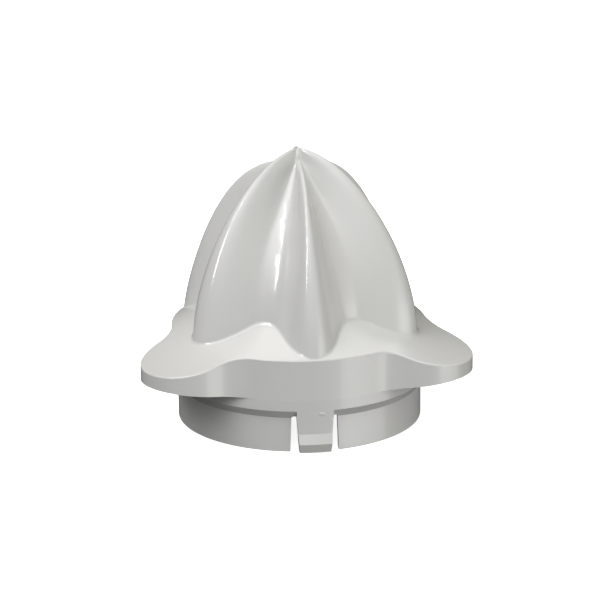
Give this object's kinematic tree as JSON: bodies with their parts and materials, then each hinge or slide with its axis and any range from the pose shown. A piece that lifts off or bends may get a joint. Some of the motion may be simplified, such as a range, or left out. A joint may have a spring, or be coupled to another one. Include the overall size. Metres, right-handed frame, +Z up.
{
  "type": "citrus juicer reamer cone",
  "caption": "Ribbed, pointed reamer cone for a citrus juicer, with a lobed brim and a slotted collar that clips into the juicer's strainer.",
  "frame": {"origin": "on the cone's axis, in the plane of the collar's lower rim", "axes": "+Z up the cone's axis to its tip; the front snap tab faces -Y"},
  "size_m": [0.1036, 0.0989, 0.0864],
  "materials": {
    "shell": "gloss",
    "collar": "gloss",
    "hub": "satin"
  },
  "bodies": {
    "cone": {"reamer_shell": "shell", "clip_collar": "collar", "drive_hub": "hub", "hub_webs": "hub"},
    "tab_front": {"snap_tab_front": "collar"},
    "tab_right": {"snap_tab_right": "collar"},
    "tab_left": {"snap_tab_left": "collar"}
  },
  "joints": [
    {"name": "tab_flex_front", "type": "hinge", "parent": "cone", "child": "tab_front", "pos_m": [0, -0.03865, 0.01158], "axis": [1, 0, 0], "range_deg": [0, 8], "stiffness_Nm_per_rad": 2},
    {"name": "tab_flex_right", "type": "hinge", "parent": "cone", "child": "tab_right", "pos_m": [0.03347, 0.01932, 0.01158], "axis": [-0.5, 0.866, 0], "range_deg": [0, 8], "stiffness_Nm_per_rad": 2},
    {"name": "tab_flex_left", "type": "hinge", "parent": "cone", "child": "tab_left", "pos_m": [-0.03347, 0.01932, 0.01158], "axis": [-0.5, -0.866, 0], "range_deg": [0, 8], "stiffness_Nm_per_rad": 2}
  ]
}
